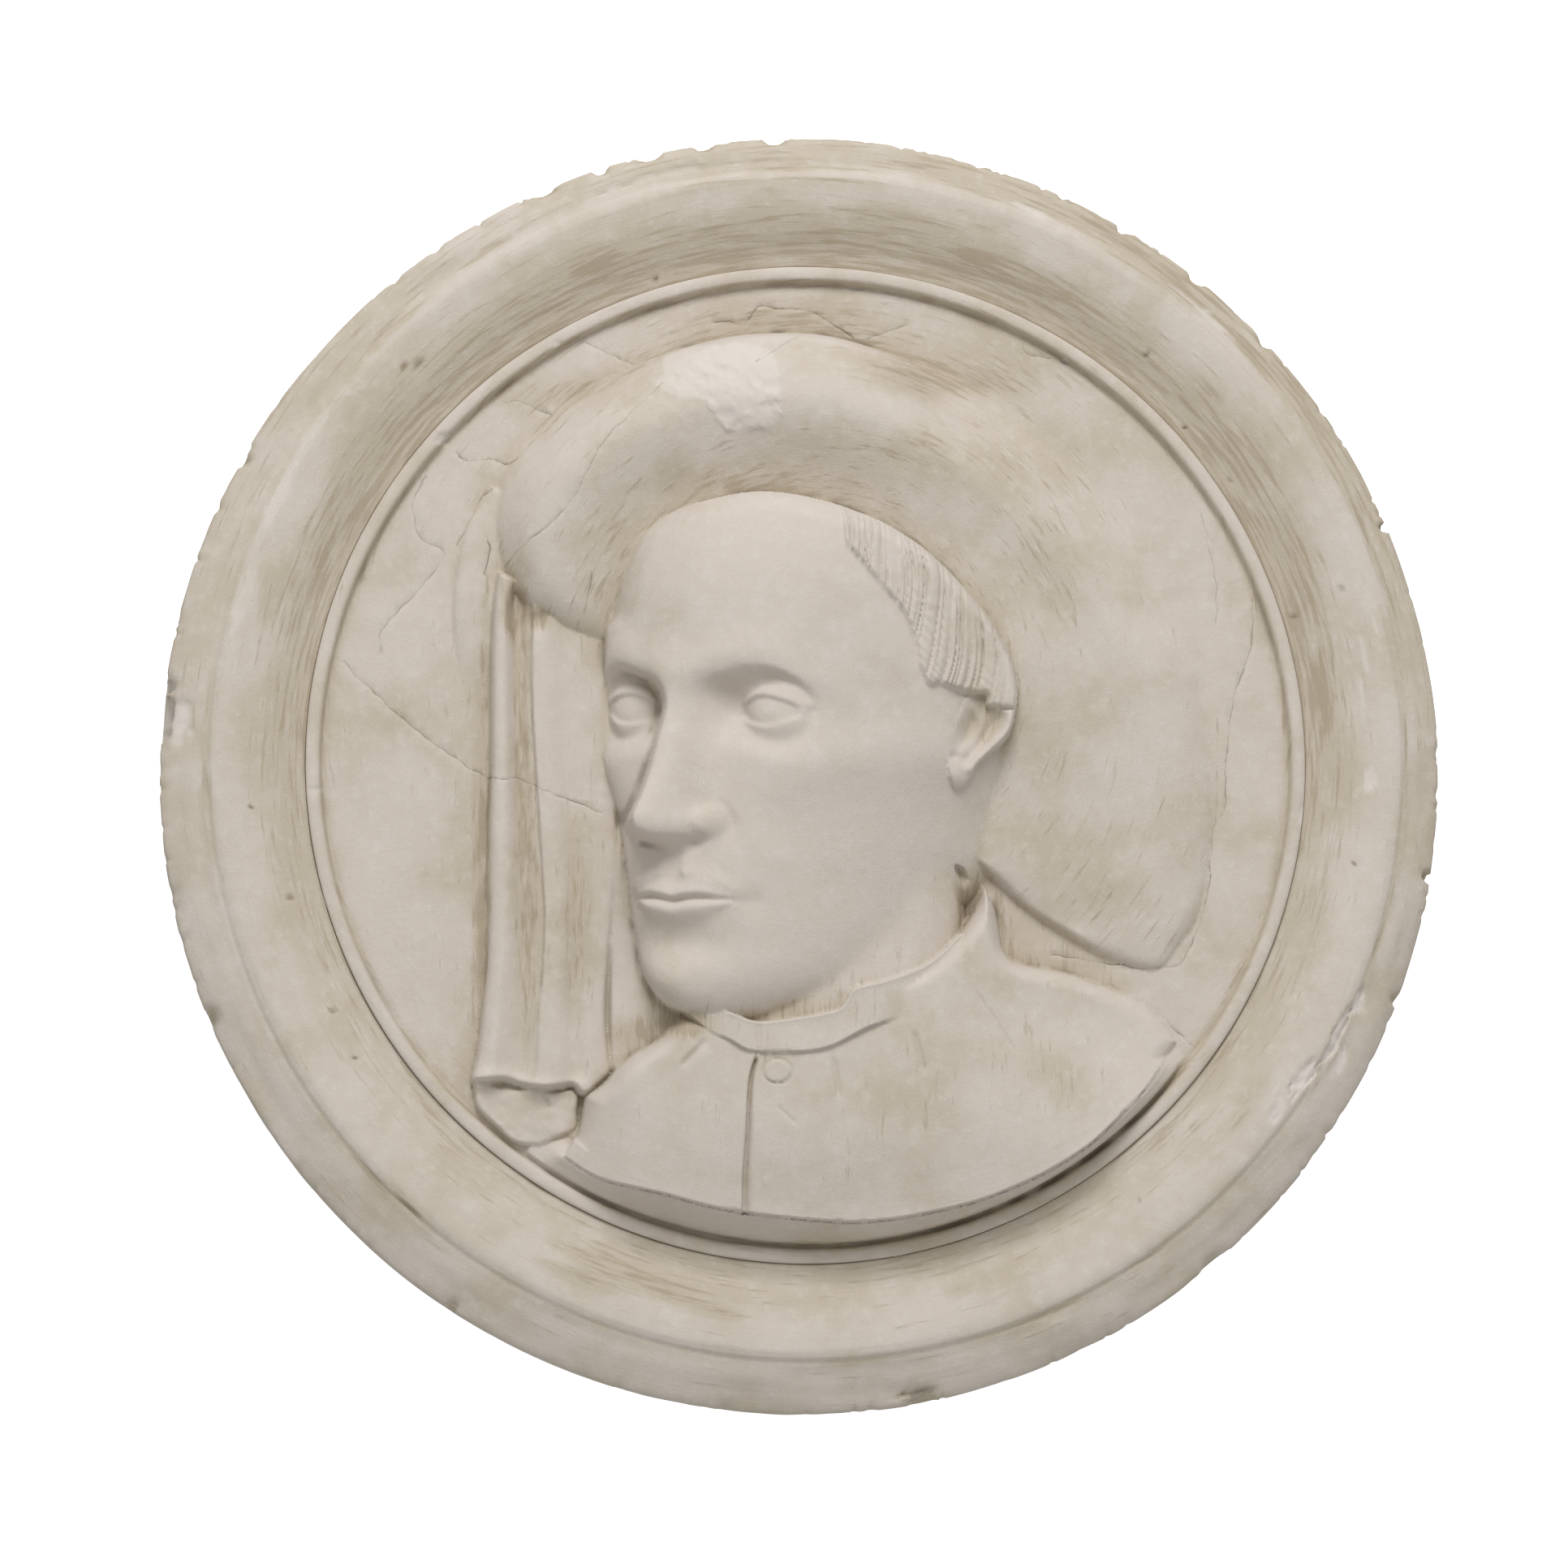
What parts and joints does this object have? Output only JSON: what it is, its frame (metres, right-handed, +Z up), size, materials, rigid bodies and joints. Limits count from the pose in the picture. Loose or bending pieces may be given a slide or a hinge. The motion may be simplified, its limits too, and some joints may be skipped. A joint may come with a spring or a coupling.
{
  "type": "relief roundel",
  "caption": "Round plaster wall relief of a hatted portrait head in a plain moulded ring frame.",
  "frame": {"origin": "middle of the flat back of the disc, where the roundel meets the wall", "axes": "+X to the viewer's right, +Y from the front into the wall, +Z up"},
  "size_m": [0.604, 0.1022, 0.604],
  "materials": {
    "plaster_frame": "old unpainted plaster, dry and matt, with grime",
    "plaster_relief": "old unpainted plaster, dry and matt, with grime"
  },
  "bodies": {
    "root": {"moulded_frame": "plaster_frame", "relief_disc": "plaster_relief"}
  },
  "joints": []
}
